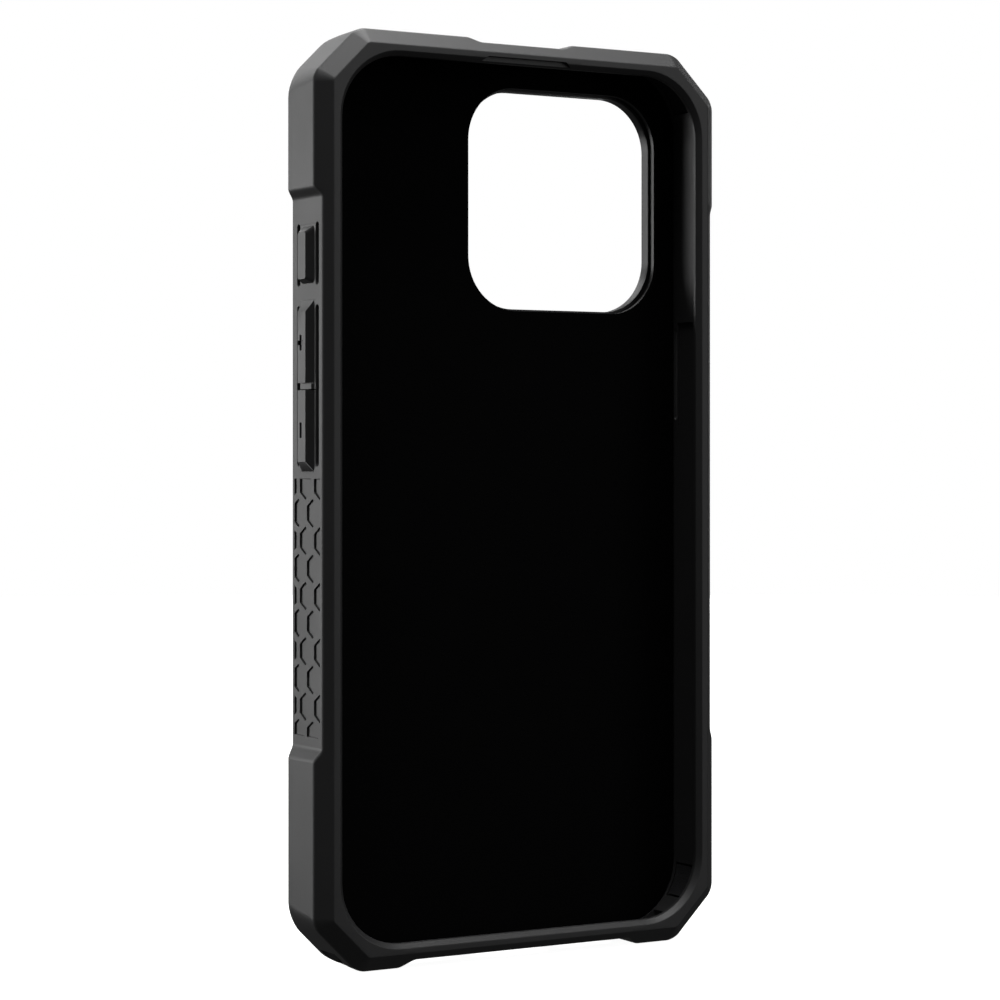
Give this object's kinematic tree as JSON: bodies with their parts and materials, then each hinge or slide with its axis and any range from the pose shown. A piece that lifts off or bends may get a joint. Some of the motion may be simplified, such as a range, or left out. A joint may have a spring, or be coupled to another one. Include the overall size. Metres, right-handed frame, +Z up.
{
  "type": "phone case",
  "caption": "Rugged slim-profile phone case with raised corner bumpers, a screen lip, sprung side button covers, honeycomb side grips, a camera guard and a hidden magnet ring.",
  "frame": {"origin": "middle of the bottom of the case's bounding box, standing upright on its bottom bumpers", "axes": "+X across the case, to the right seen from the screen side; -Y out of the screen side and +Y out of the back; +Z up the long axis, towards the end with the camera window"},
  "size_m": [0.0764, 0.0142, 0.1507],
  "materials": {
    "bumper_rubber": "fine matte black moulded rubber",
    "shell_plastic": "fine matte black",
    "panel_rubber": "textured black grip rubber",
    "guard_metal": "black anodised satin",
    "lining_fabric": "black short-pile microfibre",
    "button_plastic": "fine matte black",
    "magnet_plating": "nickel plated",
    "damper_foam": "closed-cell foam"
  },
  "bodies": {
    "case": {"bumper_frame": "bumper_rubber", "rear_shell": "shell_plastic", "rear_grip_panel": "panel_rubber", "camera_guard": "guard_metal", "inner_lining": "lining_fabric", "corner_damper_top_right": "damper_foam", "corner_damper_top_left": "damper_foam", "corner_damper_bottom_right": "damper_foam", "corner_damper_bottom_left": "damper_foam", "ring_magnet_01": "magnet_plating", "ring_magnet_02": "magnet_plating", "ring_magnet_03": "magnet_plating", "ring_magnet_04": "magnet_plating", "ring_magnet_05": "magnet_plating", "ring_magnet_06": "magnet_plating", "ring_magnet_07": "magnet_plating", "ring_magnet_08": "magnet_plating", "ring_magnet_09": "magnet_plating", "ring_magnet_10": "magnet_plating", "ring_magnet_11": "magnet_plating", "ring_magnet_12": "magnet_plating", "ring_magnet_13": "magnet_plating", "ring_magnet_14": "magnet_plating", "ring_magnet_15": "magnet_plating", "ring_magnet_16": "magnet_plating", "ring_magnet_17": "magnet_plating", "ring_magnet_18": "magnet_plating", "alignment_magnet": "magnet_plating", "skid_pad_top_left": "panel_rubber", "skid_pad_top_middle": "panel_rubber", "skid_pad_bottom_left": "panel_rubber", "skid_pad_bottom_right": "panel_rubber"},
    "action_cover": {"action_button": "button_plastic"},
    "volume_up_cover": {"volume_up_button": "button_plastic"},
    "volume_down_cover": {"volume_down_button": "button_plastic"},
    "power_cover": {"power_button": "button_plastic"}
  },
  "joints": [
    {"name": "action_press", "type": "slide", "parent": "case", "child": "action_cover", "axis": [1, 0, 0], "range_m": [0, 0.0004], "stiffness_N_per_m": 1500, "springref_m": -0.0002},
    {"name": "volume_up_press", "type": "slide", "parent": "case", "child": "volume_up_cover", "axis": [1, 0, 0], "range_m": [0, 0.0004], "stiffness_N_per_m": 1500, "springref_m": -0.0002},
    {"name": "volume_down_press", "type": "slide", "parent": "case", "child": "volume_down_cover", "axis": [1, 0, 0], "range_m": [0, 0.0004], "stiffness_N_per_m": 1500, "springref_m": -0.0002},
    {"name": "power_press", "type": "slide", "parent": "case", "child": "power_cover", "axis": [-1, 0, 0], "range_m": [0, 0.0004], "stiffness_N_per_m": 1500, "springref_m": -0.0002}
  ]
}
